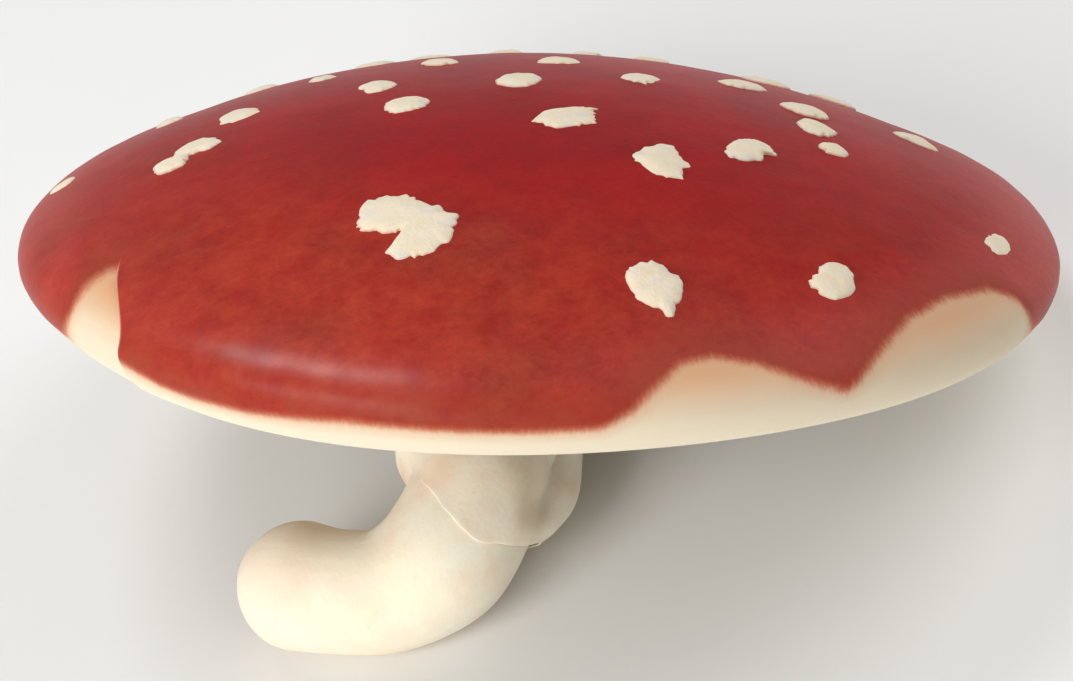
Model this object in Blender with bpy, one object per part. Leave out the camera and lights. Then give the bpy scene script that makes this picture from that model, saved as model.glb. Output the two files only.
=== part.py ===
# Fly agaric mushroom, picked and laid down: it leans on the rim of its cap and on the heel
# of its hooked stem. Lengths are in metres and angles in degrees.
# The cap has its own frame: the origin at the centre of its widest circle, +Z along its
# axis and -Y towards the side that is seen best. The lean empty lays that frame down.
import math
import random

import bmesh
import bpy
from mathutils import Matrix, Vector

MM = 0.001

# Cap: a shallow dome whose flank turns under into a rounded lip
CAP_RADIUS = 75 * MM
CAP_RISE = 21.5 * MM
DOME_POWER = 1.8
DOME_FULLNESS = 0.78
LIP_WIDTH = 14.6 * MM
LIP_DROP = 9.75 * MM
# The lip hangs lower and higher by turns round the cap
LIP_WAVE = 1.0 * MM
LIP_WAVES = 3
LIP_WAVE_AT = -125.0
CAP_COLUMNS = 72
DOME_RINGS = 12
LIP_RINGS = 3
# Underside of the flesh as (radius, height) in mm, from the inside of the lip inwards, and
# how far its first points follow the lip's wave
UNDERSIDE = [(59.3, -8.9), (58.7, -7.0), (57.0, -4.5), (50.0, 0.0), (35.0, 4.0), (12.5, 6.0)]
UNDERSIDE_WAVE = [0.8, 0.2]

# Cleft in the margin: its left side is set back beside a flap that stands proud
CLEFT_AT = -142.0
CLEFT_WIDTH = 1.2
CLEFT_SLANT = 7.0
CLEFT_SLANT_SPAN = 14.0
CLEFT_INNER = 52 * MM
CLEFT_TOP = 64 * MM
LIP_FADE = 2.0
SETBACK = 2.0 * MM
SETBACK_SPAN = 22.0
FLAP_LIFT = 0.8 * MM
FLAP_SPAN = 9.0

# Warts on the side that is seen best: azimuth, distance from the axis in mm, half width
# across the slope and half length along it in mm, and where the edge is bitten in, or None
WARTS = [
    (-111.4, 47.5, 6.8, 7.4, 150), (-78.0, 16.4, 4.7, 3.7, 20), (-60.2, 32.3, 3.8, 5.4, None),
    (-35.5, 35.2, 4.0, 3.7, 110), (-75.0, 58.0, 3.6, 5.6, None), (-52.9, 61.7, 3.3, 3.9, None),
    (-21.7, 67.3, 3.7, 2.1, None), (-158.3, 20.6, 3.2, 3.3, None), (170.1, 24.6, 3.5, 3.1, 60),
    (163.0, 3.4, 3.7, 3.3, None), (81.3, 17.0, 3.3, 3.0, None), (21.0, 15.8, 3.2, 3.0, 140),
    (-4.8, 39.4, 3.5, 2.8, None), (9.1, 39.2, 3.3, 3.6, None), (-15.8, 42.7, 2.2, 2.1, None),
    (11.2, 57.5, 3.1, 4.1, 90), (26.8, 33.6, 2.7, 4.0, None), (175.0, 44.4, 4.1, 3.9, 70),
    (-171.0, 49.2, 3.5, 3.8, 10), (-167.4, 53.2, 2.8, 2.7, None), (177.6, 70.0, 2.9, 2.3, None),
    (148.6, 38.9, 2.3, 2.1, None), (127.4, 25.0, 2.4, 3.7, None), (158.8, 61.0, 2.2, 2.1, None),
]
# Those on the back are drawn at random, no closer to each other than BACK_APART
BACK_WARTS = 14
BACK_FROM, BACK_TO = 25.0, 150.0
BACK_INNER, BACK_OUTER = 36 * MM, 69 * MM
BACK_APART = 10 * MM
BACK_SMALLEST, BACK_LARGEST = 2.6 * MM, 4.4 * MM
WART_SEED = 7
WART_SIDES = 9
LARGE_WART = 6 * MM
LARGE_WART_SIDES = 18
RAGGED_LOW, RAGGED_HIGH = 0.88, 1.1
BITE_DEPTH, BITE_SPAN = 0.4, 38.0
LARGE_BITE_DEPTH, LARGE_BITE_SPAN = 0.65, 26.0
WART_EDGE = 0.5 * MM
WART_CROWN = 0.9 * MM
WART_ROOT = 1.0 * MM

# Gills: thin blades that hang from a web under the flesh, full ones and short ones in turn
GILL_PAIRS = 48
GILL_GAP = 0.3 * MM
GILL_WEB = 0.8 * MM
GILL_THICKNESS_IN, GILL_THICKNESS_OUT = 0.7 * MM, 1.0 * MM
GILL_TAPER = 0.7
# Lower edge of the full gills as (radius, height) in mm; short ones start at the fourth point
GILL_EDGE = [(12.9, 3.0), (15.5, -2.5), (24.0, -6.5), (40.0, -8.6), (52.0, -8.9), (58.2, -8.0)]
SHORT_GILL_START = 3

# Stem: its centre line with the half width at each point, in mm, from the flesh to the foot
STEM_LINE = [
    (0.0, 0.0, 5.5, 10.0), (0.0, 0.0, -6.0, 10.1), (-1.8, -2.8, -18.0, 10.4),
    (-6.3, -14.0, -29.9, 10.4), (-8.9, -23.4, -34.4, 9.7), (-13.2, -29.7, -40.1, 9.7),
    (-20.1, -31.3, -44.2, 8.8), (-27.3, -29.6, -45.5, 8.8), (-33.1, -27.5, -45.7, 9.3),
]
STEM_SIDES = 28
STEM_STEPS = 3
FOOT_RINGS = 5

# Ring: a thin skirt round the stem between two places on the centre line, counted in its
# points; its hem hangs further down on one side, and it stands off the stem on another,
# both given as angles round the stem
RING_FROM, RING_TO = 2.45, 4.05
RING_HANG = 0.72
RING_HANG_SIDE = 65.0
RING_SIDES = 36
RING_ROWS = 7
RING_GAP = 0.3 * MM
RING_WALL = 0.8 * MM
RING_NEAR, RING_FAR = 0.15 * MM, 2.9 * MM
RING_FAR_SIDE = 25.0
RING_FLARED_BY = 0.55
RING_TUCK = 0.25
RING_PLEATS = 11
RING_PLEAT_DEPTH = 0.15 * MM

# How it lies: how far and which way the cap's axis leans, the turn on the floor, the height
# of the cap's centre over it, and the place that puts the middle of the whole on the origin
LEAN = 23.9
LEAN_TOWARDS = 55.0
TURN = -7.2
CAP_HEIGHT = 33.4 * MM
PLACE_X, PLACE_Y = 0.0 * MM, 0.0 * MM
FLOOR_SIDE = 300 * MM
FLOOR_DEPTH = 30 * MM


def material(name, colour, roughness):
    made = bpy.data.materials.new(name)
    made.use_nodes = True
    shader = made.node_tree.nodes["Principled BSDF"]
    shader.inputs["Base Color"].default_value = (*colour, 1.0)
    shader.inputs["Roughness"].default_value = roughness
    shader.inputs["Metallic"].default_value = 0.0
    made.diffuse_color = (*colour, 1.0)
    return made


def new_object(name, shape, materials, parent):
    """An object made from a bmesh under its parent, smooth but for its sharp edges."""
    bmesh.ops.recalc_face_normals(shape, faces=shape.faces[:])
    mesh = bpy.data.meshes.new(name)
    shape.to_mesh(mesh)
    shape.free()
    for each in materials:
        mesh.materials.append(each)
    mesh.shade_smooth()
    mesh.set_sharp_from_angle(angle=math.radians(50))
    made = bpy.data.objects.new(name, mesh)
    bpy.context.scene.collection.objects.link(made)
    made.parent = parent
    return made


def smooth_step(low, high, value):
    share = min(max((value - low) / (high - low), 0.0), 1.0)
    return share * share * (3 - 2 * share)


def direction(azimuth):
    return Vector((math.cos(math.radians(azimuth)), math.sin(math.radians(azimuth)), 0))


def ring_of(shape, points):
    return [shape.verts.new(p) for p in points]


def bridge(shape, first, second):
    for i in range(len(first)):
        j = (i + 1) % len(first)
        shape.faces.new((first[i], first[j], second[j], second[i]))


def fan(shape, ring, centre):
    tip = shape.verts.new(centre)
    for i in range(len(ring)):
        shape.faces.new((ring[i], ring[(i + 1) % len(ring)], tip))


def dome_height(radius):
    share = min(radius / CAP_RADIUS, 1.0)
    return CAP_RISE * (1 - share**DOME_POWER) ** DOME_FULLNESS


def dome_slope(radius):
    step = 0.1 * MM
    inner = max(radius - step, 0)
    return (dome_height(radius + step) - dome_height(inner)) / (radius + step - inner)


def underside_height(radius):
    points = sorted((r * MM, z * MM) for r, z in UNDERSIDE)
    for (r0, z0), (r1, z1) in zip(points, points[1:]):
        if radius <= r1:
            return z0 + (z1 - z0) * max(radius - r0, 0) / (r1 - r0)
    return points[-1][1]


def cap_profile():
    """(radius, height, share of the wave, strength of the cleft, its slant), top to underside."""
    rows = []
    for i in range(1, DOME_RINGS + 1):
        radius = CAP_RADIUS * math.sin(math.pi / 2 * i / DOME_RINGS)
        strength = smooth_step(CLEFT_TOP, CAP_RADIUS, radius)
        begun = smooth_step(CLEFT_INNER, CLEFT_TOP, radius)
        rows.append((radius, dome_height(radius), 0.0, strength, (2 * strength - 1) * begun))
    for i in range(1, LIP_RINGS + 1):
        turn = math.pi / 2 * i / LIP_RINGS
        radius = CAP_RADIUS - LIP_WIDTH * (1 - math.cos(turn))
        strength = (1 - i / LIP_RINGS) ** LIP_FADE
        rows.append((radius, -LIP_DROP * math.sin(turn), math.sin(turn), strength, 1.0))
    for i, (radius, height) in enumerate(UNDERSIDE):
        wave = UNDERSIDE_WAVE[i] if i < len(UNDERSIDE_WAVE) else 0.0
        rows.append((radius * MM, height * MM, wave, 0.0, 1 - i / (len(UNDERSIDE) - 1)))
    return rows


def cap_columns():
    """Azimuths of the cap's columns, even but for a close pair across the cleft."""
    step = 360 / CAP_COLUMNS
    even = [-180 + step * i for i in range(CAP_COLUMNS)]
    kept = [a for a in even if abs(a - CLEFT_AT) > step / 2]
    return sorted(kept + [CLEFT_AT - CLEFT_WIDTH / 2, CLEFT_AT + CLEFT_WIDTH / 2])


def cleft_offset(azimuth):
    """How far the margin stands out, or in if negative, near the cleft."""
    past = azimuth - CLEFT_AT
    if past < 0:
        return -SETBACK * smooth_step(-SETBACK_SPAN, 0, past)
    return FLAP_LIFT * (1 - smooth_step(0, FLAP_SPAN, past))


def cap_point(azimuth, radius, height, wave, strength, slant):
    near = math.exp(-(((azimuth - CLEFT_AT) / CLEFT_SLANT_SPAN) ** 2))
    turned = direction(azimuth + CLEFT_SLANT * slant * near)
    hang = LIP_WAVE * math.cos(math.radians(LIP_WAVES * (azimuth - LIP_WAVE_AT)))
    out = radius + cleft_offset(azimuth) * strength
    return turned * out + Vector((0, 0, height - hang * wave))


def cap_shape():
    shape = bmesh.new()
    columns = cap_columns()
    rings = [ring_of(shape, [cap_point(a, *row) for a in columns]) for row in cap_profile()]
    for upper, lower in zip(rings, rings[1:]):
        bridge(shape, upper, lower)
    fan(shape, rings[0], (0, 0, CAP_RISE))
    fan(shape, rings[-1], (0, 0, UNDERSIDE[-1][1] * MM))
    under = set(rings[DOME_RINGS]).union(*rings[DOME_RINGS:])
    for face in shape.faces:
        face.material_index = 1 if under.issuperset(face.verts[:2]) else 0
    return shape


def on_dome(spot, proud):
    """The point that stands this far off the dome along its normal, over (x, y)."""
    radius = spot.length
    away = spot.normalized()
    normal = (Vector((0, 0, 1)) - away * dome_slope(radius)).normalized()
    return Vector((spot.x, spot.y, dome_height(radius))) + normal * proud


def wart_shape(wart, draw):
    """A flat patch with a ragged edge that follows the dome, its root sunk in the flesh."""
    azimuth, radius, across, along, bite = wart
    large = max(across, along) > LARGE_WART
    count = LARGE_WART_SIDES if large else WART_SIDES
    depth, span = (LARGE_BITE_DEPTH, LARGE_BITE_SPAN) if large else (BITE_DEPTH, BITE_SPAN)
    away, side = direction(azimuth), direction(azimuth + 90)
    level = 1 / math.hypot(1, dome_slope(radius))
    spots = []
    for i in range(count):
        turn = 360 * i / count
        reach = draw.uniform(RAGGED_LOW, RAGGED_HIGH)
        if bite is not None:
            past = (turn - bite + 180) % 360 - 180
            reach *= 1 - depth * math.exp(-((past / span) ** 2))
        out = direction(turn) * reach
        spots.append(away * (radius + along * level * out.y) + side * across * out.x)
    shape = bmesh.new()
    edge = ring_of(shape, [on_dome(spot, WART_EDGE) for spot in spots])
    foot = ring_of(shape, [on_dome(spot, -WART_ROOT) for spot in spots])
    bridge(shape, edge, foot)
    fan(shape, edge, on_dome(away * radius, WART_CROWN))
    fan(shape, foot, on_dome(away * radius, -WART_ROOT))
    return shape


def all_warts(draw):
    """The warts that are seen best, then the ones drawn for the back of the dome."""
    placed = [(a, r * MM, w * MM, l * MM, bite) for a, r, w, l, bite in WARTS]
    spots = [direction(wart[0]) * wart[1] for wart in placed]
    while len(placed) < len(WARTS) + BACK_WARTS:
        azimuth = draw.uniform(BACK_FROM, BACK_TO)
        radius = math.sqrt(draw.uniform(BACK_INNER**2, BACK_OUTER**2))
        spot = direction(azimuth) * radius
        if all((spot - other).length > BACK_APART for other in spots):
            spots.append(spot)
            across, along = (draw.uniform(BACK_SMALLEST, BACK_LARGEST) for _ in range(2))
            placed.append((azimuth, radius, across, along, draw.choice((None, 60, 200))))
    return placed


def fuse_warts(cap, wart_material):
    """Joins every wart to the cap with one Boolean union on a collection, and applies it."""
    draw = random.Random(WART_SEED)
    group = bpy.data.collections.new("warts")
    bpy.context.scene.collection.children.link(group)
    for i, wart in enumerate(all_warts(draw)):
        patch = new_object(f"wart_{i:02d}", wart_shape(wart, draw), [wart_material], cap.parent)
        bpy.context.scene.collection.objects.unlink(patch)
        group.objects.link(patch)
    union = cap.modifiers.new("warts", "BOOLEAN")
    union.operation = "UNION"
    union.operand_type = "COLLECTION"
    union.collection = group
    union.material_mode = "TRANSFER"
    bpy.context.view_layer.objects.active = cap
    bpy.ops.object.modifier_apply(modifier=union.name)
    for patch in list(group.objects):
        bpy.data.objects.remove(patch)
    bpy.data.collections.remove(group)


def gills_shape():
    """One closed body: a web under the flesh whose lower face is folded into blades."""
    shape = bmesh.new()
    last = len(GILL_EDGE) - 1
    upper, lower = [], []
    for row, (radius, edge) in enumerate((r * MM, z * MM) for r, z in GILL_EDGE):
        top = underside_height(radius) - GILL_GAP
        web = top - GILL_WEB
        thick = GILL_THICKNESS_IN + (GILL_THICKNESS_OUT - GILL_THICKNESS_IN) * row / last
        half = math.degrees(thick / 2 / radius)
        tops, folds = [], []
        for gill in range(2 * GILL_PAIRS):
            middle = 180 / GILL_PAIRS * gill
            drop = 1.0
            if gill % 2:
                drop = min(max((row - SHORT_GILL_START + 1) / 2, 0), 1)
            blade = web + (edge - web) * drop
            tops.append(direction(middle) * radius + Vector((0, 0, top)))
            for side, height in ((-1, web), (-GILL_TAPER, blade), (GILL_TAPER, blade), (1, web)):
                folds.append(direction(middle + side * half) * radius + Vector((0, 0, height)))
        upper.append(ring_of(shape, tops))
        lower.append(ring_of(shape, folds))
    for rings in (upper, lower):
        for inner, outer in zip(rings, rings[1:]):
            bridge(shape, inner, outer)
    for tops, folds in ((upper[0], lower[0]), (upper[-1], lower[-1])):
        close_gills(shape, tops, folds)
    return shape


def close_gills(shape, tops, folds):
    """Joins the web's upper edge to the folded one, blade by blade."""
    for gill, top in enumerate(tops):
        blade = folds[4 * gill:4 * gill + 4]
        for first, second in zip(blade, blade[1:]):
            shape.faces.new((top, first, second))
        following = (gill + 1) % len(tops)
        shape.faces.new((top, blade[3], folds[4 * following], tops[following]))


def stem_point(place):
    """Centre and half width on a smooth curve; place 2.5 is halfway from point 2 to 3."""
    last = len(STEM_LINE) - 1
    i = min(int(place), last - 1)
    share = place - i
    before, start, end, after = (
        Vector(STEM_LINE[min(max(j, 0), last)]) for j in (i - 1, i, i + 1, i + 2)
    )
    square, cube = share**2, share**3
    mixed = start * (2 * cube - 3 * square + 1) + end * (3 * square - 2 * cube)
    mixed += (end - before) / 2 * (cube - 2 * square + share)
    return (mixed + (after - start) / 2 * (cube - square)) * MM


def stem_frames(places):
    """(centre, half width, along, across, towards the front) at each place, without twist."""
    step = 0.02
    across = Vector((1, 0, 0))
    frames = []
    for place in places:
        here = stem_point(place)
        ahead = stem_point(min(place + step, len(STEM_LINE) - 1))
        along = (ahead - stem_point(max(place - step, 0))).to_3d().normalized()
        across = (across - along * across.dot(along)).normalized()
        frames.append((here.to_3d(), here[3], along, across, along.cross(across)))
    return frames


def stem_shape():
    shape = bmesh.new()
    turns = [direction(360 * k / STEM_SIDES) for k in range(STEM_SIDES)]
    spans = (len(STEM_LINE) - 1) * STEM_STEPS
    frames = stem_frames([i / STEM_STEPS for i in range(spans + 1)])
    rows = [(centre, half, across, front) for centre, half, _, across, front in frames]
    foot, half, along, across, front = frames[-1]
    for i in range(1, FOOT_RINGS):
        turn = math.pi / 2 * i / FOOT_RINGS
        rows.append((foot + along * half * math.sin(turn), half * math.cos(turn), across, front))
    rings = [
        ring_of(shape, [centre + (across * t.x + front * t.y) * width for t in turns])
        for centre, width, across, front in rows
    ]
    for upper, lower in zip(rings, rings[1:]):
        bridge(shape, upper, lower)
    fan(shape, rings[0], frames[0][0])
    fan(shape, rings[-1], foot + along * half)
    return shape


def ring_stand_off(turn, down):
    """How far the skirt stands off the stem, by the angle round it and the share down it."""
    flare = smooth_step(0, RING_FLARED_BY, down) * (1 - RING_TUCK * smooth_step(0.7, 1, down))
    facing = max(math.cos(math.radians(turn - RING_FAR_SIDE)), 0) ** 1.5
    pleat = RING_PLEAT_DEPTH * math.cos(math.radians(RING_PLEATS * turn))
    return (RING_NEAR + (RING_FAR - RING_NEAR) * facing + pleat) * flare


def ring_hem(turn):
    """Place of the hem on the stem's line, by the angle round it."""
    return RING_TO + RING_HANG * max(math.cos(math.radians(turn - RING_HANG_SIDE)), 0) ** 1.5


def ring_shape():
    shape = bmesh.new()
    shares = [row / RING_ROWS for row in range(RING_ROWS + 1)]
    inside, outside = [], []
    for k in range(RING_SIDES):
        turn = 360 * k / RING_SIDES
        length = ring_hem(turn) - RING_FROM
        frames = stem_frames([RING_FROM + length * share for share in shares])
        for share, (centre, half, _, across, front) in zip(shares, frames):
            out = across * direction(turn).x + front * direction(turn).y
            reach = half + RING_GAP + ring_stand_off(turn, share)
            inside.append(centre + out * reach)
            outside.append(centre + out * (reach + RING_WALL))
    rows = len(shares)
    inner = [ring_of(shape, inside[row::rows]) for row in range(rows)]
    outer = [ring_of(shape, outside[row::rows]) for row in range(rows)]
    for rings in (inner, outer):
        for upper, lower in zip(rings, rings[1:]):
            bridge(shape, upper, lower)
    bridge(shape, inner[0], outer[0])
    bridge(shape, inner[-1], outer[-1])
    return shape


def laid_down():
    """The empty that carries the mushroom from the cap's own frame to where it lies."""
    lean = bpy.data.objects.new("lean", None)
    bpy.context.scene.collection.objects.link(lean)
    axis = direction(LEAN_TOWARDS + 90)
    tilt = Matrix.Rotation(math.radians(LEAN), 4, axis)
    turn = Matrix.Rotation(math.radians(TURN), 4, "Z")
    lean.matrix_world = Matrix.Translation((PLACE_X, PLACE_Y, CAP_HEIGHT)) @ turn @ tilt
    return lean


def floor_cutter():
    """A slab under the floor plane: what is pressed into it becomes a flat resting spot."""
    shape = bmesh.new()
    size = (FLOOR_SIDE, FLOOR_SIDE, FLOOR_DEPTH)
    lower = Matrix.Translation((0, 0, -FLOOR_DEPTH / 2)) @ Matrix.Diagonal((*size, 1))
    bmesh.ops.create_cube(shape, size=1, matrix=lower)
    floor = new_object("floor_cutter", shape, [], None)
    floor.hide_render = True
    floor.display_type = "WIRE"
    return floor


def flatten(piece, floor):
    cut = piece.modifiers.new("resting_spot", "BOOLEAN")
    cut.operation = "DIFFERENCE"
    cut.object = floor


def main():
    for thing in list(bpy.data.objects):
        bpy.data.objects.remove(thing, do_unlink=True)
    red_skin = material("red_skin", (0.36, 0.02, 0.02), 0.42)
    cream_flesh = material("cream_flesh", (0.76, 0.63, 0.42), 0.6)
    wart_flesh = material("wart_flesh", (0.80, 0.70, 0.50), 0.75)
    gill_flesh = material("gill_flesh", (0.86, 0.78, 0.60), 0.7)
    stem_flesh = material("stem_flesh", (0.86, 0.75, 0.52), 0.6)
    lean = laid_down()
    floor = floor_cutter()
    cap = new_object("cap", cap_shape(), [red_skin, cream_flesh], lean)
    fuse_warts(cap, wart_flesh)
    flatten(cap, floor)
    new_object("gills", gills_shape(), [gill_flesh], lean)
    stem = new_object("stem", stem_shape(), [stem_flesh], lean)
    flatten(stem, floor)
    new_object("ring", ring_shape(), [stem_flesh], lean)


main()
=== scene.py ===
import math
import random

import bmesh
import bpy
import numpy as np
from mathutils import Matrix, Vector, noise


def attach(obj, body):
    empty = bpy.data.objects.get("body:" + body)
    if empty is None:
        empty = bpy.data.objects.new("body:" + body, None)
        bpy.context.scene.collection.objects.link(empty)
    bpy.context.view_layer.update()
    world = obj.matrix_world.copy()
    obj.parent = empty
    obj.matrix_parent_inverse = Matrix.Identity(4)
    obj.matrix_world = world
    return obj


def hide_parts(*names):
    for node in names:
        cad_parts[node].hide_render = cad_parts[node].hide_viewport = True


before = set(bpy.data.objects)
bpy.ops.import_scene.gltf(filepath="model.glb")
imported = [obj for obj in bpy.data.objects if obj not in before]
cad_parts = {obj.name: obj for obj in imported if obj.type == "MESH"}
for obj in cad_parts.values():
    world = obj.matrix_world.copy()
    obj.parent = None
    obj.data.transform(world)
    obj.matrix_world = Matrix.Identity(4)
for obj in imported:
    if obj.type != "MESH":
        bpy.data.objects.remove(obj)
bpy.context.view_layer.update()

mm = 0.001

# The cap's own frame, in mm: origin in the middle of its widest circle, +Z along its axis.
# These say how that frame lies on the floor.
lying = {"lean": 23.9, "towards": 55.0, "turn": -7.2, "height": 33.4}


def direction(azimuth):
    return Vector((math.cos(math.radians(azimuth)), math.sin(math.radians(azimuth)), 0))


capToFloor = (Matrix.Translation((0, 0, lying["height"] * mm))
              @ Matrix.Rotation(math.radians(lying["turn"]), 4, "Z")
              @ Matrix.Rotation(math.radians(lying["lean"]), 4, direction(lying["towards"] + 90)))
mmToFloor = capToFloor @ Matrix.Diagonal((mm, mm, mm, 1))


def smoothStep(low, high, value):
    share = np.clip((value - low) / (high - low), 0, 1)
    return share * share * (3 - 2 * share)


def band(first, full, fading, last, value):
    # 1 from full to fading, 0 before first and after last
    return smoothStep(first, full, value) * smoothStep(last, fading, value)


def bell(away, span, power=2):
    return np.exp(-((away / span) ** power))


def turnFrom(side, turn):
    # degrees past a side, from -180 to 180
    return (turn - side + 180) % 360 - 180


def lumps(points, size, seed):
    shift = Vector((seed * 17.3, seed * 5.1, seed * 9.7))
    flat = np.asarray(points, float).reshape(-1, 3) / size
    made = np.array([noise.noise(Vector(p) + shift) for p in flat])
    return made.reshape(np.shape(points)[:-1])


# Node trees: one helper adds a node with its inputs, the others are the kinds used most

def treeOf(*values):
    # the tree of the node outputs among the values
    return next(value.id_data for value in values if isinstance(value, bpy.types.NodeSocket))


def feed(socket, value):
    # an input takes either another node's output or a plain value
    if isinstance(value, bpy.types.NodeSocket):
        socket.id_data.links.new(value, socket)
    else:
        socket.default_value = value


def addNode(tree, kind, inputs=None, **settings):
    made = tree.nodes.new(kind)
    for key, value in settings.items():
        setattr(made, key, value)
    for key, value in (inputs or {}).items():
        feed(made.inputs[key], value)
    return made


def nodeOut(tree, kind, inputs=None, **settings):
    return addNode(tree, kind, inputs, **settings).outputs[0]


def calc(operation, *values):
    inputs = dict(enumerate(values))
    return nodeOut(treeOf(*values), "ShaderNodeMath", inputs, operation=operation)


def times(first, second, plus=None):
    # the product, and plus added to it where one is given
    if plus is None:
        return calc("MULTIPLY", first, second)
    return calc("MULTIPLY_ADD", first, second, plus)


def noiseAt(place, size, detail=3.0, roughness=0.55, distortion=0.0):
    settings = {"Vector": place, "Scale": 1 / size, "Detail": detail,
                "Roughness": roughness, "Distortion": distortion}
    return nodeOut(treeOf(place), "ShaderNodeTexNoise", settings)


def remap(value, low, high, toLow=0.0, toHigh=1.0, kind="SMOOTHSTEP"):
    settings = {"Value": value, "From Min": low, "From Max": high, "To Min": toLow, "To Max": toHigh}
    return nodeOut(treeOf(value), "ShaderNodeMapRange", settings, interpolation_type=kind)


def screenColour(*shown):
    # red, green and blue as on screen, 0 to 255, turned into the linear colour that shaders take
    shares = [value / 255 for value in shown]
    return (*(s / 12.92 if s <= 0.04045 else ((s + 0.055) / 1.055) ** 2.4 for s in shares), 1.0)


def mixColours(share, first, second, blend="MIX"):
    tree = treeOf(share, first, second)
    inputs = {0: share, 6: first, 7: second}
    return addNode(tree, "ShaderNodeMix", inputs, data_type="RGBA", blend_type=blend).outputs[2]


def layered(colour, *layers):
    # each layer lies over the last by its share
    for share, over in layers:
        colour = mixColours(share, colour, over)
    return colour


def stretched(place, scale):
    return nodeOut(treeOf(place), "ShaderNodeMapping", {"Vector": place, "Scale": scale})


def attribute(tree, name, output="Fac"):
    return addNode(tree, "ShaderNodeAttribute", attribute_name=name).outputs[output]


def newMaterial(name, chosen):
    # with its tree, its shader, the object coordinates in mm and the linear colours
    made = bpy.data.materials.new(name)
    made.use_nodes = True
    tree = made.node_tree
    place = addNode(tree, "ShaderNodeTexCoord").outputs["Object"]
    inMm = stretched(place, (1 / mm, 1 / mm, 1 / mm))
    colours = {label: screenColour(*value) for label, value in chosen.items()}
    return made, tree, tree.nodes["Principled BSDF"], inMm, colours


def bump(shader, height, depth):
    # height runs from 0 to 1 and depth is its full size in mm
    inputs = {"Height": height, "Distance": depth * mm, "Strength": 1.0}
    feed(shader.inputs["Normal"], nodeOut(treeOf(height), "ShaderNodeBump", inputs))


def setShader(shader, colour, roughness, **others):
    for name, value in {"Base_Color": colour, "Roughness": roughness, **others}.items():
        feed(shader.inputs[name.replace("_", " ")], value)


# Objects and meshes

def addObject(name, data):
    made = bpy.data.objects.new(name, data)
    bpy.context.scene.collection.objects.link(made)
    return made


def meshOf(name, points, faces, material):
    mesh = bpy.data.meshes.new(name)
    mesh.from_pydata([tuple(p) for p in points], [], faces)
    mesh.materials.append(material)
    mesh.shade_smooth()
    return addObject(name, mesh)


def ringFaces(rows, columns, first=0, closed=False):
    # between rings of points; closed joins the last to the first as well
    faces = []
    for i in range(rows if closed else rows - 1):
        a, b = first + i * columns, first + (i + 1) % rows * columns
        for j in range(columns):
            k = (j + 1) % columns
            faces.append((a + j, b + j, b + k, a + k))
    return faces


def fanFaces(ringStart, columns, tip, outwards):
    around = [(ringStart + j, ringStart + (j + 1) % columns) for j in range(columns)]
    return [(tip, a, b) if outwards else (tip, b, a) for a, b in around]


def shellFaces(rows, columns, first=0):
    # rings of points and after them the tip at either end
    tips = first + rows * columns
    faces = ringFaces(rows, columns, first) + fanFaces(first, columns, tips, True)
    return faces + fanFaces(tips - columns, columns, tips + 1, False)


def store(piece, name, values, kind="FLOAT"):
    made = piece.data.attributes.new(name, kind, "POINT")
    values = np.asarray(values, np.float32)
    made.data.foreach_set("vector" if kind == "FLOAT_VECTOR" else "value", values.ravel())


def onFloor(points):
    # from the cap's frame in mm to the floor's in m, pressed flat where it rests
    matrix = np.array(mmToFloor)
    placed = np.asarray(points).reshape(-1, 3) @ matrix[:3, :3].T + matrix[:3, 3]
    placed[:, 2] = np.maximum(placed[:, 2], 0)
    return placed


# Cap

cap = {
    "radius": 75.0, "rise": 21.5, "power": 1.8, "fullness": 0.78,
    "lipWidth": 14.6, "lipDrop": 9.75, "wave": 1.0, "waves": 3, "waveAt": -125.0,
    "underside": [(59.3, -8.9), (58.7, -7.0), (57.0, -4.5), (50.0, 0.0), (35.0, 4.0), (12.5, 6.0)],
    "undersideWave": [0.8, 0.2, 0.0, 0.0, 0.0, 0.0],
    "cleftAt": -142.0, "slant": 7.0, "slantSpan": 14.0, "slantTop": 62.0,
    "cleftInner": 52.0, "cleftTop": 64.0,
    "setback": 2.0, "setbackSpan": 22.0, "flapLift": 0.8, "flapSpan": 9.0, "wall": 0.3,
    "columnStep": 0.9, "cleftStep": 0.15, "cleftZone": 3.0,
    "domeRows": 104, "lipRows": 30, "undersideRows": 26,
    "rimRounding": 3.0, "rimZone": 16.0,
    "swell": 0.3, "swellSize": 24.0, "grain": 0.05, "grainSize": 5.0, "skinThickness": 0.14,
    "creaseDepth": 0.35, "creaseRows": (-10.9, -10.2, -9.0, -5.0), "creaseSpan": (-13.0, -7.0, -0.3, 0.3),
    "tornRows": (-11.0, -9.0, -3.0, 1.0), "tornSpan": (0.05, 0.2, 0.3, 0.6),
}
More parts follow.
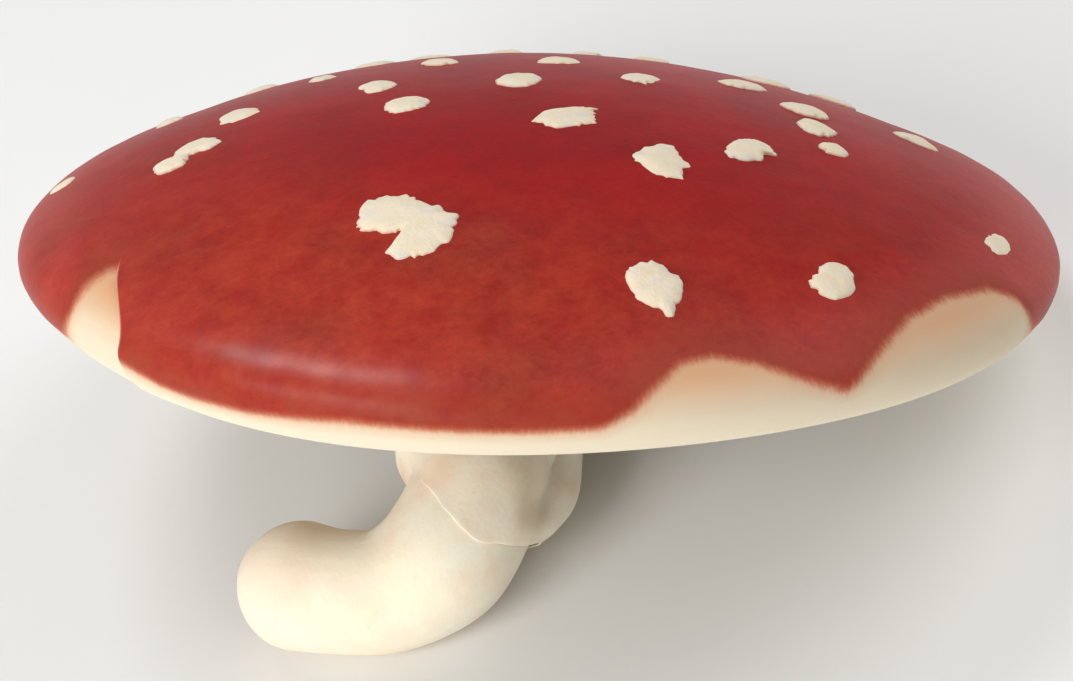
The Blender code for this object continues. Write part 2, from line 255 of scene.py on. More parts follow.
# Where the red skin ends: (azimuth, mm from the widest circle along the surface, + down the lip)
skinEdge = [
    (-142.0, 1.6), (-139.1, 2.2), (-135.4, 3.2), (-128.5, 3.6), (-118.9, 3.6), (-107.4, 2.4),
    (-98.8, 2.4), (-91.4, 2.3), (-84.1, 1.9), (-81.2, -0.5), (-78.7, -3.4), (-75.7, -6.6),
    (-72.2, -7.1), (-68.0, -5.3), (-64.1, -2.3), (-59.4, 0.5), (-55.8, -2.5), (-51.4, -5.4),
    (-47.8, -7.1), (-40.8, -8.0), (-32.9, -6.2), (-30.2, -3.4), (-29.2, 0.0), (-27.5, 2.6),
    (-20.0, 4.5), (-5.0, 4.0), (10.0, 4.6), (22.0, 3.6), (30.0, 0.2), (36.0, -4.0), (44.0, -6.2),
    (53.0, -5.2), (60.0, -1.4), (67.0, 2.6), (80.0, 4.2), (96.0, 3.2), (104.0, -0.6), (111.0, -4.2),
    (119.0, -5.6), (127.0, -3.4), (134.0, 0.8), (142.0, 4.0), (156.0, 4.8), (172.0, 4.2),
    (186.0, 4.9), (196.0, 5.0), (204.0, 4.6), (207.6, 4.0), (208.4, 2.0), (208.9, -1.0),
    (209.8, -3.6), (211.6, -6.0), (214.5, -8.2), (218.0, -9.8),
]


def domeHeight(radius):
    share = np.minimum(radius / cap["radius"], 1.0)
    return cap["rise"] * (1 - share ** cap["power"]) ** cap["fullness"]


def domeSlope(radius):
    step = 0.1
    inner = np.maximum(radius - step, 0)
    return (domeHeight(radius + step) - domeHeight(inner)) / (radius + step - inner)


def roundedRim(radius, height):
    # the dome and the lip meet in an edge at the widest circle, so the profile is softened there
    along = np.cumsum(np.hypot(np.diff(radius, prepend=0), np.diff(height, prepend=cap["rise"])))
    rim = along[cap["domeRows"] - 1]
    step, reached = 0.1, 100
    even = np.arange(0, along[-1], step)
    reach = np.arange(-reached, reached + 1) * step
    weights = np.exp(-((reach / cap["rimRounding"]) ** 2) / 2)
    near = 1 - smoothStep(0.5 * cap["rimZone"], cap["rimZone"], np.abs(along - rim))
    near = near * (1 - smoothStep(along[-1] - 7, along[-1], along))
    made = []
    for line in (radius, height):
        dense = np.pad(np.interp(even, along, line), reached, mode="edge")
        soft = np.convolve(dense, weights / weights.sum(), mode="valid")
        made.append(line + (np.interp(along, even, soft) - line) * near)
    return made[0] + (cap["radius"] - made[0].max()) * near, made[1]


def capRows():
    # radius, height, share of the wave, strength of the cleft, slant and place, a row a ring
    turns = np.pi / 2 * np.arange(1, cap["domeRows"] + 1) / cap["domeRows"]
    radius = cap["radius"] * np.sin(turns)
    strength = smoothStep(cap["cleftTop"], cap["radius"], radius)
    begun = smoothStep(cap["cleftInner"], cap["cleftTop"], radius)
    slant = (2 * smoothStep(cap["slantTop"], cap["radius"], radius) - 1) * begun
    dome = np.stack([radius, domeHeight(radius), 0 * radius, strength, slant])
    share = np.arange(1, cap["lipRows"] + 1) / cap["lipRows"]
    turns = np.pi / 2 * share
    lip = np.stack([cap["radius"] - cap["lipWidth"] * (1 - np.cos(turns)),
                    -cap["lipDrop"] * np.sin(turns), np.sin(turns), (1 - share) ** 2, 1 + 0 * share])
    corners = np.array([lip[:3, -1]] + [
        (r, z, w) for (r, z), w in zip(cap["underside"], cap["undersideWave"])])
    lengths = np.hypot(*np.diff(corners[:, :2], axis=0).T)
    along = np.concatenate([[0], np.cumsum(lengths)])
    spread = np.linspace(0, 1, cap["undersideRows"] + 1)[1:] ** 1.6 * along[-1]
    under = np.stack([np.interp(spread, along, column) for column in corners.T])
    fade = 1 - spread / along[-1]
    under = np.concatenate([under, [0 * spread, fade]])
    rows = np.concatenate([dome, lip], axis=1)
    rows[0], rows[1] = roundedRim(rows[0], rows[1])
    rows = np.concatenate([rows, under], axis=1)
    steps = np.hypot(np.diff(rows[0], prepend=0), np.diff(rows[1], prepend=cap["rise"]))
    place = np.cumsum(steps)
    return np.concatenate([rows, [place - place[cap["domeRows"] - 1]]])


def capColumns():
    even = np.arange(-180, 180, cap["columnStep"])
    even = even[np.abs(even - cap["cleftAt"]) > cap["cleftZone"]]
    fine = cap["cleftAt"] + np.arange(-cap["cleftZone"], cap["cleftZone"] + 0.01, cap["cleftStep"])
    return np.sort(np.concatenate([even, fine]))


def cleftOffset(past):
    # how far the margin stands out, or in if negative, by degrees past the cleft
    left = -cap["setback"] * smoothStep(-cap["setbackSpan"], 0, past)
    right = cap["flapLift"] * (1 - smoothStep(0, cap["flapSpan"], past))
    return left + (right - left) * smoothStep(-cap["wall"], cap["wall"], past)


def skinEdgeAt(past):
    # place of the skin's edge by degrees past the cleft, from just right of it all the way round
    knots = np.array(skinEdge)
    fine = np.arange(0, 360.01, 0.25)
    values = np.interp(fine, knots[:, 0] - cap["cleftAt"], knots[:, 1])
    window = np.hanning(9)
    padded = np.concatenate([np.full(4, values[0]), values, np.full(4, values[-1])])
    values = np.convolve(padded, window / window.sum(), mode="valid")
    around = np.where(past > cap["wall"], past, past + 360) % 360
    around = np.where(np.abs(past) <= cap["wall"], 359.9, around)
    slope = np.gradient(values, np.radians(0.25) * cap["radius"])
    return np.interp(around, fine, values), np.interp(around, fine, slope)


def capSurface():
    radius, height, waveShare, strength, slant, place = (row[:, None] for row in capRows())
    azimuth = capColumns()[None, :]
    past = azimuth - cap["cleftAt"]
    near = bell(past, cap["slantSpan"])
    turned = np.radians(azimuth + cap["slant"] * slant * near)
    hang = cap["wave"] * np.cos(np.radians(cap["waves"] * (azimuth - cap["waveAt"])))
    out = radius + cleftOffset(past) * strength
    points = np.stack([np.cos(turned) * out, np.sin(turned) * out, height - hang * waveShare], -1)
    edge, slope = skinEdgeAt(past)
    bare = (place - edge) / np.sqrt(1 + slope ** 2)
    place = place + 0 * turned
    streaks = np.stack([np.cos(turned) * cap["radius"], np.sin(turned) * cap["radius"], place], -1)
    return points, bare, streaks, place


def surfaceNormals(points):
    down = np.gradient(points, axis=0)
    around = np.roll(points, -1, axis=1) - np.roll(points, 1, axis=1)
    normals = np.cross(down, around)
    return normals / np.maximum(np.linalg.norm(normals, axis=-1, keepdims=True), 1e-9)


def makeCap(material):
    points, bare, streaks, place = capSurface()
    rows, columns = bare.shape
    above = smoothStep(12, 2, place)
    relief = cap["swell"] * lumps(points, cap["swellSize"], 1) * smoothStep(8, -8, place)
    relief = relief + cap["grain"] * lumps(points, cap["grainSize"], 2) * above
    relief = relief - cap["skinThickness"] * smoothStep(-0.7, 0.7, bare) * above
    past = (capColumns() - cap["cleftAt"])[None, :]
    # a shallow crease to the left of the cleft's top
    crease = band(*cap["creaseRows"], place) * band(*cap["creaseSpan"], past)
    relief = relief - cap["creaseDepth"] * crease
    points = points + surfaceNormals(points) * relief[..., None]
    tips = [(0, 0, cap["rise"]), (0, 0, cap["underside"][-1][1])]
    everything = np.concatenate([points.reshape(-1, 3), tips])
    piece = meshOf("capFlesh", onFloor(everything), shellFaces(rows, columns), material)
    ends = np.array([[0, 0, place[0, 0]], [0, 0, place[-1, 0]]])
    store(piece, "bare", np.append(bare.ravel(), [bare.min(), bare.max()]))
    store(piece, "streaks", np.concatenate([streaks.reshape(-1, 3), ends]), "FLOAT_VECTOR")
    # a thin light line along the free edge of the flap, just right of the cleft
    torn = band(*cap["tornSpan"], past) * band(*cap["tornRows"], place)
    for label, values in zip(("tornRim", "warm", "faded", "moist"), (torn, *skinShares(points, place))):
        store(piece, label, np.append(values.ravel(), [0, 0]))
    return piece


skin = {
    "warmSide": -112.0, "warmSpan": 52.0, "warmFrom": 28.0, "warmTo": 60.0, "warmEverywhere": 0.25,
    "fadedSpan": 55.0, "fadedFrom": 58.0, "moistPlace": -2.8, "moistWidth": 1.8, "moistSpan": 15.0,
    "moistLumps": 3.0, "patchSize": 16.0, "mottleSize": 4.6, "speckSize": 1.0, "strokeSize": 2.2,
    "fineStrokeSize": 0.45,
}


def skinShares(points, place):
    # where the red turns towards orange, on the flank to the front left; where it is faded and has a
    # painted sheen, paler along the margin everywhere else; and where the skin is moist, in a band along
    # the front margin
    azimuth = np.degrees(np.arctan2(points[..., 1], points[..., 0]))
    radius = np.hypot(points[..., 0], points[..., 1])
    away = turnFrom(skin["warmSide"], azimuth)
    warm = smoothStep(skin["warmFrom"], skin["warmTo"], radius)
    least = skin["warmEverywhere"]
    warm = warm * (least + (1 - least) * bell(away, skin["warmSpan"]))
    faded = smoothStep(skin["fadedFrom"], cap["radius"], radius) * (1 - bell(away, skin["fadedSpan"]))
    moist = bell(place - skin["moistPlace"], skin["moistWidth"]) * bell(away, skin["moistSpan"], 4)
    return warm, faded, moist * (0.75 + 0.35 * lumps(points, skin["moistLumps"], 12))


skinColours = {
    "red": (158, 24, 26), "deep": (142, 25, 28), "faded": (206, 108, 100),
    "orange": (172, 61, 38), "brown": (146, 62, 42),
    "edge": (200, 124, 90), "tan": (214, 174, 142), "amber": (216, 158, 108), "cream": (221, 207, 181),
    "pale": (237, 225, 201), "torn": (242, 190, 168),
}


def skinMaterial():
    made, tree, shader, place, colours = newMaterial("capSkin", skinColours)
    bare, flank = attribute(tree, "bare"), attribute(tree, "warm")
    streaks = attribute(tree, "streaks", "Vector")
    fine = noiseAt(stretched(streaks, (1.0, 1.0, 0.4)), skin["fineStrokeSize"], 2.0)
    coarse = noiseAt(stretched(streaks, (1.0, 1.0, 0.5)), skin["strokeSize"], 2.0)
    patches = noiseAt(place, skin["patchSize"], 4.0, 0.6)
    squashed = stretched(place, (0.9, 1.0, 1.1))
    mottle = noiseAt(squashed, skin["mottleSize"], 7.0, 0.7, 0.1)
    specks = noiseAt(squashed, skin["speckSize"], 4.0, 0.72)
    warm = times(flank, remap(mottle, 0.30, 0.70, 0.35, 1.0))
    brown = times(flank, remap(patches, 0.5, 0.8))
    brown = times(brown, remap(specks, 0.35, 0.65, 0.3, 0.8))
    # the faded layer is partly a painted sheen: it makes the skin paler along the margin everywhere but
    # at the front
    red = layered(colours["red"],
                  (remap(patches, 0.35, 0.68), colours["deep"]),
                  (times(warm, 0.85), colours["orange"]),
                  (times(attribute(tree, "faded"), 0.42), colours["faded"]),
                  (brown, colours["brown"]))
    shade = times(specks, 0.56, times(mottle, 0.30, 0.57))
    shade = nodeOut(tree, "ShaderNodeCombineColor", {0: shade, 1: shade, 2: shade})
    red = mixColours(1.0, red, shade, "MULTIPLY")
    # the red turns browner towards its edge, which frays in short fine strokes
    brown = times(remap(bare, -7.0, -0.5), remap(mottle, 0.3, 0.7, 0.2, 0.7))
    red = mixColours(brown, red, colours["brown"])
    strokes = times(fine, 1.3, times(coarse, 0.8, -1.05))
    frayed = times(strokes, times(flank, -0.6, 1.0), bare)
    # the flesh is tan high on the flank and cream below
    down = addNode(tree, "ShaderNodeSeparateXYZ", {0: streaks}).outputs[2]
    down = times(patches, 2.4, calc("SUBTRACT", down, 1.2))
    flesh = layered(colours["tan"],
                    (flank, colours["amber"]),
                    (remap(down, -6.5, 2.5), colours["cream"]),
                    (remap(down, 2.0, 10.0), colours["pale"]),
                    (remap(frayed, 0.2, 3.0, 0.6, 0.0), colours["tan"]))
    fringe = mixColours(remap(frayed, -0.5, 1.2), colours["edge"], flesh)
    colour = layered(red,
                     (remap(frayed, -1.0, 0.8), fringe),
                     (times(attribute(tree, "tornRim"), 0.7), colours["torn"]))
    roughness = remap(frayed, -0.5, 0.5, 0.42, 0.62)
    bump(shader, times(mottle, 0.7, times(specks, 0.3)), 0.10)
    setShader(shader, colour, roughness, Specular_IOR_Level=0.09, Coat_Roughness=0.32,
              Coat_IOR=1.65, Coat_Weight=attribute(tree, "moist"), Subsurface_Weight=0.12,
              Subsurface_Scale=2.0 * mm, Subsurface_Radius=(1.0, 0.45, 0.25))
    return made


# Warts, in the cap's frame: azimuth, distance from the axis, half sizes across and along the
# slope and, for some, where the edge is bitten in and the name of an outline of their own

warts = {
    "placed": [
        (-111.4, 47.5, 6.8, 7.4, 150, "large"), (-78.0, 16.4, 4.7, 3.7, 20, "wedge"),
        (-60.2, 32.3, 3.8, 5.4, None, "slanted"), (-35.5, 35.2, 4.0, 3.7, 110, "bean"),
        (-75.0, 58.0, 3.6, 5.6, None, "tailed"), (-52.9, 61.7, 3.3, 3.9, None, "round"),
        (-21.7, 67.3, 3.7, 2.1), (-158.3, 20.6, 3.2, 3.3), (170.1, 24.6, 3.5, 3.1, 60),
        (163.0, 3.4, 3.7, 3.3), (81.3, 17.0, 3.3, 3.0), (21.0, 15.8, 3.2, 3.0, 140),
        (-4.8, 39.4, 3.5, 2.8), (9.1, 39.2, 3.3, 3.6), (-15.8, 42.7, 2.2, 2.1),
        (11.2, 57.5, 3.1, 4.1, 90), (26.8, 33.6, 2.7, 4.0), (175.0, 44.4, 4.1, 3.9, 70),
        (-171.0, 49.2, 3.5, 3.8, 10), (-167.4, 53.2, 2.8, 2.7), (177.6, 70.0, 2.9, 2.3),
        (148.6, 38.9, 2.3, 2.1), (127.4, 25.0, 2.4, 3.7), (158.8, 61.0, 2.2, 2.1),
    ],
    "outlines": {
        "large": [(-7.2, -4.6), (-4.7, -6.0), (-2.6, -6.4), (-0.6, -5.9), (1.9, -4.6), (2.7, -5.2),
                  (4.0, -3.9), (5.9, -3.8), (6.4, -1.6), (7.2, 2.2), (6.2, 3.0), (6.0, 4.7),
                  (4.5, 5.9), (2.3, 7.3), (0.3, 6.3), (0.5, 4.5), (0.3, 1.3), (-1.9, 2.6),
                  (-3.0, 1.9), (-4.9, 2.4), (-6.3, 0.9), (-7.1, -2.0)],
        "wedge": [(-4.8, 0.5), (-3.6, -1.3), (-2.3, -3.0), (-0.2, -3.7), (2.2, -3.9), (5.1, -3.1),
                  (4.0, -0.8), (4.1, 2.1), (0.7, 2.7), (-2.0, 3.3), (-3.8, 1.2)],
        "slanted": [(-2.8, -2.6), (-1.2, -3.5), (0.3, -4.6), (3.2, -4.9), (4.2, -3.9), (4.1, -1.9),
                    (3.4, 0.3), (3.3, 2.3), (1.8, 2.3), (1.3, 3.7), (0.6, 5.3), (-1.7, 3.9),
                    (-2.8, 2.2), (-3.0, -1.2)],
        "bean": [(-3.3, -2.1), (-0.8, -3.2), (1.4, -3.6), (3.4, -3.0), (4.7, -1.9), (4.9, -0.5),
                 (3.8, 1.1), (3.0, 2.5), (1.4, 1.3), (-0.5, 2.2), (-3.0, 1.1), (-4.2, -0.6)],
        "tailed": [(0.2, -4.9), (1.1, -3.9), (1.8, -2.6), (2.8, -1.6), (3.1, -0.2), (2.3, 1.9),
                   (2.0, 2.8), (1.0, 4.1), (0.1, 6.3), (-0.7, 5.9), (-1.0, 4.6), (-2.4, 3.4),
                   (-3.3, 2.2), (-3.8, 0.6), (-3.9, -1.4), (-3.6, -2.6), (-2.6, -3.7), (-0.8, -4.7)],
        "round": [(1.9, -3.3), (3.3, -2.8), (4.1, -1.5), (3.8, 0.2), (2.4, 1.9), (0.4, 3.2),
                  (-2.0, 3.2), (-3.2, 1.0), (-3.3, -0.6), (-1.7, -1.6), (-0.1, -2.5)],
    },
    "middles": {"large": (1.0, -1.1)},
    "backCount": 14, "backFrom": 25.0, "backTo": 150.0, "backInner": 36.0, "backOuter": 69.0,
    "backApart": 10.0, "smallest": 2.6, "largest": 4.4, "seed": 7,
    "sides": 9, "large": 6.0, "largeSides": 18, "ragged": (0.88, 1.1),
    "bite": (0.4, 38.0), "largeBite": (0.65, 26.0),
    "edgeHeight": 0.15, "crownHeight": 0.65, "root": 0.7, "step": 0.2, "rings": 9,
    "frayFrom": 0.82, "apron": 0.16, "tuck": 0.05,
    "fray": 0.45, "fraySize": 1.3, "tornSize": 1.6, "wander": 0.3, "wanderSize": 2.4,
    "lumpHeight": 0.16, "lumpSize": 1.7,
}


def placedWarts(draw):
    made = [(*wart, None, None)[:6] for wart in warts["placed"]]
    spots = [direction(wart[0]) * wart[1] for wart in made]
    while len(made) < len(warts["placed"]) + warts["backCount"]:
        azimuth = draw.uniform(warts["backFrom"], warts["backTo"])
        radius = math.sqrt(draw.uniform(warts["backInner"] ** 2, warts["backOuter"] ** 2))
        spot = direction(azimuth) * radius
        if all((spot - other).length > warts["backApart"] for other in spots):
            spots.append(spot)
            across, along = (draw.uniform(warts["smallest"], warts["largest"]) for _ in range(2))
            made.append((azimuth, radius, across, along, draw.choice((None, 60, 200)), None))
    return made


def wartOutline(wart, draw):
    # corners of the outline as (across, along) in mm
    azimuth, radius, across, along, bite, named = wart
    large = max(across, along) > warts["large"]
    count = warts["largeSides"] if large else warts["sides"]
    depth, span = warts["largeBite"] if large else warts["bite"]
    corners = []
    for i in range(count):
        turn = 360 * i / count
        reach = draw.uniform(*warts["ragged"])
        if bite is not None:
            reach *= 1 - depth * bell(turnFrom(bite, turn), span)
        out = direction(turn) * reach
        corners.append((across * out.x, along * out.y))
    return np.array(warts["outlines"][named] if named else corners)


def walked(corners, step, softness):
    # the closed outline in even steps, its corners rounded a little
    closed = np.concatenate([corners, corners[:1]])
    along = np.concatenate([[0], np.cumsum(np.hypot(*np.diff(closed, axis=0).T))])
    count = int(along[-1] / step)
    spread = np.arange(count) / count * along[-1]
    line = np.stack([np.interp(spread, along, column) for column in closed.T], -1)
    for _ in range(softness):
        line = (np.roll(line, 1, axis=0) + 2 * line + np.roll(line, -1, axis=0)) / 4
    return line


def onDome(spots, proud):
    radius = np.hypot(spots[:, 0], spots[:, 1])
    away = spots / np.maximum(radius, 1e-6)[:, None]
    normal = np.concatenate([-away * domeSlope(radius)[:, None], np.ones((len(spots), 1))], axis=1)
    normal /= np.linalg.norm(normal, axis=1, keepdims=True)
    base = np.concatenate([spots, domeHeight(radius)[:, None]], axis=1)
    return base + normal * np.asarray(proud).reshape(-1, 1)


def wartPoints(wart, draw, seed):
    # rings of points from the crown outwards, under the edge and down to the root; the tips; and
    # how thin each point's felt is, from 0 at the crown to 1 at the edge
    azimuth, radius = wart[0], wart[1]
    line = walked(wartOutline(wart, draw), warts["step"], 3)
    flat = np.concatenate([line, np.full((len(line), 1), seed * 3.7)], axis=1)
    outward = np.roll(line, -1, axis=0) - np.roll(line, 1, axis=0)
    outward = np.stack([outward[:, 1], -outward[:, 0]], -1)
    outward /= np.maximum(np.linalg.norm(outward, axis=1, keepdims=True), 1e-6)
    spikes = 0.6 - 3 * np.abs(lumps(flat, warts["fraySize"], 3))
    torn = np.clip(0.4 + 2 * lumps(flat, warts["tornSize"], 7), 0.08, 1)
    frayed = warts["fray"] * torn * np.maximum(spikes, -1)
    frayed = frayed + warts["wander"] * lumps(flat, warts["wanderSize"], 4)
    soft, line = line, line + outward * frayed[:, None]
    middle = np.array(warts["middles"].get(wart[5], line.mean(axis=0)))
    level = 1 / math.hypot(1, domeSlope(radius))
    away, side = (np.array(direction(azimuth + turn))[:2] for turn in (0, 90))

    def spotsOf(local):
        return away * radius + local[:, :1] * side + local[:, 1:] * level * away

    rings, count = [], warts["rings"]
    rise = warts["crownHeight"] - warts["edgeHeight"]
    for number, share in enumerate(np.sqrt(np.arange(1, count + 1) / count)):
        edge = soft + (line - soft) * smoothStep(warts["frayFrom"], 1.0, share)
        spots = spotsOf(middle + (edge - middle) * share)
        place = np.concatenate([spots, 0 * spots[:, :1]], axis=1)
        lump = warts["lumpHeight"] * (lumps(place, warts["lumpSize"], 5) + 0.3 * lumps(place, 0.8, 6))
        crown = warts["edgeHeight"] + rise * (1 - share ** 4)
        rings.append((spots, crown + lump * (1.2 - share), number / count))
    rings.append((spotsOf(line + outward * warts["apron"]), -warts["tuck"], 1.0))
    rings.append((spotsOf(line), -warts["root"], 1.0))
    points = np.array([onDome(spots, height) for spots, height, _ in rings])
    tips = [onDome(spotsOf(middle[None, :]), height) for height in (warts["crownHeight"], -warts["root"])]
    return points, tips, np.array([np.full(len(line), thin) for *_, thin in rings])


def makeWarts(material):
    draw = random.Random(warts["seed"])
    points, faces, thin, count = [], [], [], 0
    for seed, wart in enumerate(placedWarts(draw)):
        rings, tips, edges = wartPoints(wart, draw, seed)
        rows, columns = rings.shape[:2]
        points += [rings.reshape(-1, 3), *tips]
        thin += [edges.ravel(), [0, 1]]
        faces += shellFaces(rows, columns, count)
        count += rows * columns + 2
    piece = meshOf("warts", onFloor(np.concatenate(points)), faces, material)
    store(piece, "thin", np.concatenate(thin))
    turnOutwards(piece)
    return piece


def turnOutwards(piece):
    shape = bmesh.new()
    shape.from_mesh(piece.data)
    bmesh.ops.recalc_face_normals(shape, faces=shape.faces)
    shape.to_mesh(piece.data)
    shape.free()


wartColours = {
    "cream": (237, 223, 197), "grey": (220, 215, 207), "tan": (222, 158, 132), "straw": (236, 218, 187),
}


def wartMaterial():
    made, tree, shader, place, colours = newMaterial("wartFelt", wartColours)
    broad = noiseAt(place, 3.0, 3.0)
    fine = noiseAt(place, 0.6, 4.0, 0.6)
    dull = noiseAt(place, 2.2, 2.0, 0.5, 0.3)
    rim = times(fine, 0.3, attribute(tree, "thin"))
    colour = layered(colours["cream"],
                     (remap(broad, 0.4, 0.65), colours["straw"]),
                     (remap(dull, 0.52, 0.7, 0.0, 0.7), colours["grey"]),
                     (remap(rim, 0.95, 1.2, 0.0, 0.75), colours["tan"]))
    bump(shader, fine, 0.12)
    setShader(shader, colour, 0.82, Specular_IOR_Level=0.25, Sheen_Weight=0.25,
              Sheen_Roughness=0.6, Subsurface_Weight=0.1, Subsurface_Scale=1.0 * mm,
              Subsurface_Radius=(1.0, 0.7, 0.45))
    return made


# Gills

gills = {
    "tiers": [  # blades, where they start, sections, share of the depth, offset in pitches
        (96, 12.9, 26, 1.0, 0.0), (96, 34.0, 16, 0.85, 0.5), (192, 47.0, 9, 0.6, 0.5),
    ],
    "end": 59.0, "sides": 8, "thickness": 0.55, "taper": 0.45, "waver": 0.35, "waverSize": 7.0,
    "jitter": 0.12, "seed": 11, "sink": 0.4, "heights": (-12.0, 8.0),
    "top": [(12.5, 6.0), (35.0, 4.0), (50.0, 0.0), (57.0, -4.5), (59.3, -7.5)],
    "edge": [(12.9, 3.6), (15.5, -2.5), (24.0, -6.5), (40.0, -8.6), (52.0, -8.9), (59.3, -8.0)],
}
gillColours = {"pale": (244, 236, 214), "cream": (236, 222, 192), "edge": (222, 196, 156)}


def newTree(name, sockets):
    # a geometry tree with its group inputs, given as the names of each kind, and one output
    tree = bpy.data.node_groups.new(name, "GeometryNodeTree")
    for kind, labels in [("Geometry", ["Geometry"]), *sockets.items(), ("Material", ["Material"])]:
        for label in labels:
            tree.interface.new_socket(name=label, in_out="INPUT", socket_type="NodeSocket" + kind)
    tree.interface.new_socket(name="Geometry", in_out="OUTPUT", socket_type="NodeSocketGeometry")
    return tree, tree.nodes.new("NodeGroupInput").outputs


def setInputs(modifier, values, sizes):
    # each input gets its value, or what the piece's sizes hold for it: Waver Size is waverSize
    for item in modifier.node_group.interface.items_tree:
        key = item.name[0].lower() + item.name[1:].replace(" ", "")
        if item.in_out == "INPUT" and item.name != "Geometry":
            modifier[item.identifier] = values[item.name] if item.name in values else sizes[key]


def keep(geometry, name, value, kind="FLOAT"):
    # the geometry with the value as a named attribute
    inputs = {"Geometry": geometry, "Name": name, "Value": value}
    return nodeOut(treeOf(value), "GeometryNodeStoreNamedAttribute", inputs, data_type=kind)


def joined(*values):
    inputs = dict(enumerate(values))
    return nodeOut(treeOf(*values), "ShaderNodeCombineXYZ", inputs)


def kept(tree, name, kind="FLOAT"):
    return nodeOut(tree, "GeometryNodeInputNamedAttribute", {"Name": name}, data_type=kind)


def wander(place, scale, strength, detail=1.0):
    # from -strength to strength, in soft lumps
    inputs = {"Vector": place, "Scale": scale, "Detail": detail}
    centred = calc("SUBTRACT", nodeOut(treeOf(place), "ShaderNodeTexNoise", inputs), 0.5)
    return times(centred, times(strength, 2.0))


def finishTree(geometry, material, earlier=None):
    tree = treeOf(geometry)
    whole = nodeOut(tree, "GeometryNodeSetShadeSmooth", {"Geometry": geometry})
    if earlier is not None:
        join = addNode(tree, "GeometryNodeJoinGeometry")
        feed(join.inputs[0], whole)
        feed(join.inputs[0], earlier)
        whole = join.outputs[0]
    real = nodeOut(tree, "GeometryNodeRealizeInstances", {"Geometry": whole})
    dressed = nodeOut(tree, "GeometryNodeSetMaterial", {"Geometry": real, "Material": material})
    addNode(tree, "NodeGroupOutput", {0: dressed})


def curveNode(value, points, low, high):
    # height in mm by radius in mm, read from given points between low and high
    radii = [r for r, _ in points]
    share = remap(value, radii[0], radii[-1], kind="LINEAR")
    made = addNode(treeOf(share), "ShaderNodeFloatCurve", {"Value": share})
    knots = made.mapping.curves[0].points
    while len(knots) < len(points):
        knots.new(0.5, 0.5)
    places = [((r - radii[0]) / (radii[-1] - radii[0]), (z - low) / (high - low)) for r, z in points]
    for knot, spot in zip(knots, places):
        knot.location = spot
    made.mapping.update()
    return remap(made.outputs[0], 0.0, 1.0, low, high, "LINEAR")


def gillTree():
    tree, given = newTree("gillBlades", {
        "Int": ["Blades", "Sections", "Sides", "Seed"],
        "Float": ["Start", "End", "Depth", "Offset", "Jitter", "Thickness", "Taper", "Waver",
                  "Waver Size", "Sink"]})
    count = given["Blades"]
    spots = nodeOut(tree, "GeometryNodePoints", {"Count": count})
    index = nodeOut(tree, "GeometryNodeInputIndex")
    drawn = addNode(tree, "FunctionNodeRandomValue", {"Seed": given["Seed"], "ID": index},
                    data_type="FLOAT").outputs[1]
    shifted = times(drawn, given["Jitter"], given["Offset"])
    turn = calc("DIVIDE", calc("ADD", index, shifted), count)
    turn = times(turn, math.tau)
    spots = keep(spots, "turn", turn)
    blade = nodeOut(tree, "GeometryNodeMeshCylinder", {
        "Vertices": given["Sides"], "Side Segments": given["Sections"],
        "Radius": 1.0, "Depth": 1.0})
    placed = nodeOut(tree, "GeometryNodeInstanceOnPoints", {"Points": spots, "Instance": blade})
    real = nodeOut(tree, "GeometryNodeRealizeInstances", {"Geometry": placed})
    position = nodeOut(tree, "GeometryNodeInputPosition")
    axes = addNode(tree, "ShaderNodeSeparateXYZ", {0: position}).outputs
    share = calc("ADD", axes[2], 0.5)
    reach = calc("SUBTRACT", given["End"], given["Start"])
    radius = times(share, reach, given["Start"])
    top, edge = (curveNode(radius, gills[name], *gills["heights"]) for name in ("top", "edge"))
    down = times(axes[1], -0.5, 0.5)
    grown = times(given["Depth"], remap(share, -0.02, 0.4, 0.1, 1.0))
    whole = calc("GREATER_THAN", given["Depth"], 0.99)
    grown = calc("MAXIMUM", grown, whole)
    hang = times(calc("SUBTRACT", edge, top), grown)
    sunk = times(calc("SUBTRACT", 1.0, down), given["Sink"])
    height = calc("ADD", times(hang, down, top), sunk)
    turnBack = kept(tree, "turn")
    where = joined(radius, times(turnBack, 300.0), given["Seed"])
    waver = times(wander(where, calc("DIVIDE", 1.0, given["Waver Size"]), given["Waver"]), down)
    thinned = calc("SUBTRACT", 1.0, times(down, given["Taper"]))
    thick = times(given["Thickness"], thinned)
    sideways = times(times(axes[0], 0.5), thick, waver)
    angle = calc("ADD", turnBack, calc("DIVIDE", sideways, radius))
    moved = joined(times(radius, calc("COSINE", angle)), times(radius, calc("SINE", angle)), height)
    shaped = nodeOut(tree, "GeometryNodeSetPosition", {"Geometry": real, "Position": moved})
    shaped = keep(shaped, "down", down)
    finishTree(shaped, given["Material"], given["Geometry"])
    return tree


def plainPiece(name, carrier, matrix):
    # the evaluated object as a plain mesh in the floor's frame; the carrier is removed
    bpy.context.view_layer.update()
    evaluated = carrier.evaluated_get(bpy.context.evaluated_depsgraph_get())
    mesh = bpy.data.meshes.new_from_object(evaluated)
    mesh.name = name
    mesh.transform(matrix)
    bpy.data.objects.remove(carrier)
    return addObject(name, mesh)


def makeGills(material):
    carrier = addObject("gillCarrier", bpy.data.meshes.new("gillCarrier"))
    tree = gillTree()
    for number, (count, start, sections, depth, offset) in enumerate(gills["tiers"]):
        modifier = carrier.modifiers.new(f"tier{number}", "NODES")
        modifier.node_group = tree
        setInputs(modifier, {
            "Blades": count, "Sections": sections, "Start": start, "Depth": depth, "Offset": offset,
            "Seed": gills["seed"] + number, "Material": material}, gills)
    piece = plainPiece("gillBlades", carrier, mmToFloor)
    turnOutwards(piece)
    return piece


